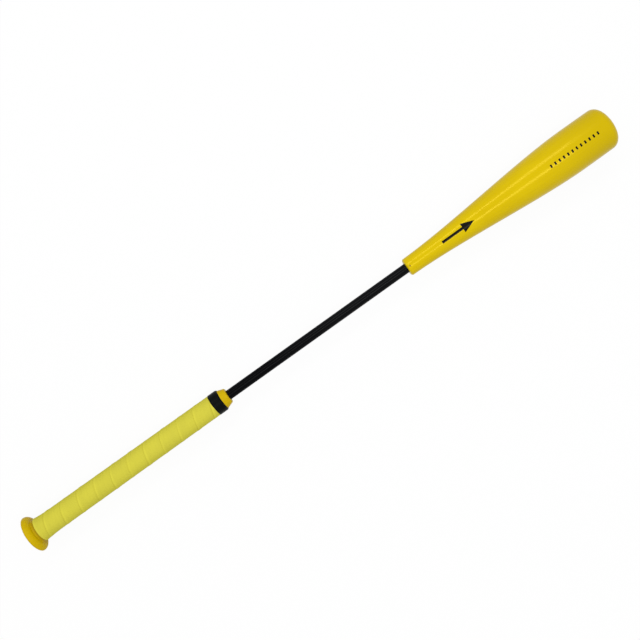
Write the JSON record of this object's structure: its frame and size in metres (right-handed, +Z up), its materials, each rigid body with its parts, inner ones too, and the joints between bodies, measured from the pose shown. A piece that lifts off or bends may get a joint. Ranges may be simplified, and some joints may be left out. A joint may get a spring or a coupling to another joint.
{
  "type": "baseball swing training bat",
  "caption": "Baseball swing-training bat: turned handle with knob and spiral grip tape, slim flexible rod, and turned rounded barrel.",
  "frame": {"origin": "centre of the flat end of the knob, on the bat's axis", "axes": "+X along the bat from the knob to the end of the barrel, +Z up, across the bat and along its cross pins"},
  "size_m": [0.84, 0.0544, 0.0544],
  "materials": {
    "handle_lacquer": "satin",
    "barrel_lacquer": "gloss",
    "grip_tape": "matte",
    "finishing_tape": "satin",
    "rod": "satin",
    "glue": "satin",
    "pin_steel": "satin"
  },
  "bodies": {
    "handle": {"handle": "handle_lacquer", "grip_tape": "grip_tape", "finishing_tape": "finishing_tape", "shaft": "rod", "handle_glue": "glue", "handle_pin": "pin_steel"},
    "barrel": {"barrel": "barrel_lacquer", "barrel_glue": "glue", "barrel_pin": "pin_steel"}
  },
  "joints": [
    {"name": "shaft_flex", "type": "hinge", "parent": "handle", "child": "barrel", "pos_m": [0.417, 0, 0], "axis": [0, 0, 1], "range_deg": [-12, 12], "stiffness_Nm_per_rad": 157, "deforming": ["shaft"]}
  ]
}
